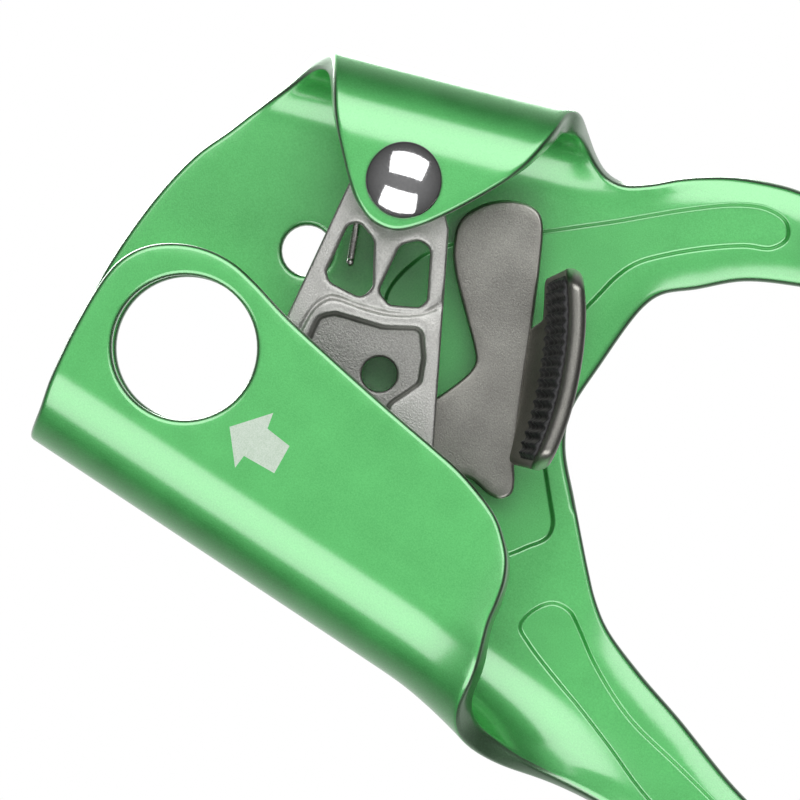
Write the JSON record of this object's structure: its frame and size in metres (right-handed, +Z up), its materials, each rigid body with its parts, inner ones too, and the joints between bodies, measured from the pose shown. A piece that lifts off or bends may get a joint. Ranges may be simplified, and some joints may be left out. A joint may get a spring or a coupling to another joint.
{
  "type": "handled rope ascender",
  "caption": "Handled rope ascender: folded aluminium frame with a rope channel and hand opening, sprung toothed cam, sprung thumb catch, moulded two-part grip.",
  "frame": {"origin": "on the rope's centre line in the channel, level with the cam axle", "axes": "+Z up along the rope, +X from the rope channel towards the cam axle and the grip, -Y the front with the two folded flaps"},
  "size_m": [0.0979, 0.0349, 0.1869],
  "materials": {
    "anodised_aluminium": "green anodised, satin",
    "cast_steel": "investment cast, bead blasted",
    "tumbled_steel": "stamped stainless sheet, tumbled, bright on its edges",
    "polished_steel": "polished",
    "spring_steel": "drawn wire",
    "ribbed_rubber": "black, ribbed",
    "grip_plastic": "black, fine moulded grain",
    "soft_grip": "dark grey, soft, ribbed"
  },
  "bodies": {
    "root": {"frame": "anodised_aluminium", "cam_axle": "polished_steel", "axle_washer": "polished_steel", "cam_bush": "spring_steel", "grip_front_shell": "grip_plastic", "grip_rear_shell": "grip_plastic", "finger_insert": "soft_grip", "palm_insert": "soft_grip", "grip_screws": "polished_steel"},
    "cam": {"cam": "cast_steel", "cam_spring": "spring_steel", "catch_pin": "polished_steel", "catch_spring": "spring_steel"},
    "catch": {"catch": "tumbled_steel", "thumb_pad": "ribbed_rubber"}
  },
  "joints": [
    {"name": "cam_pivot", "type": "hinge", "parent": "root", "child": "cam", "pos_m": [0.0435, 0, 0], "axis": [0, -1, 0], "range_deg": [0, 24], "stiffness_Nm_per_rad": 0.06, "springref_deg": -40.11, "deforming": ["cam_spring"]},
    {"name": "catch_pivot", "type": "hinge", "parent": "cam", "child": "catch", "pos_m": [0.0145, 0.0043, -0.0175], "axis": [0, 1, 0], "range_deg": [0, 12], "stiffness_Nm_per_rad": 0.02, "springref_deg": -40.11, "deforming": ["catch_spring"]}
  ]
}
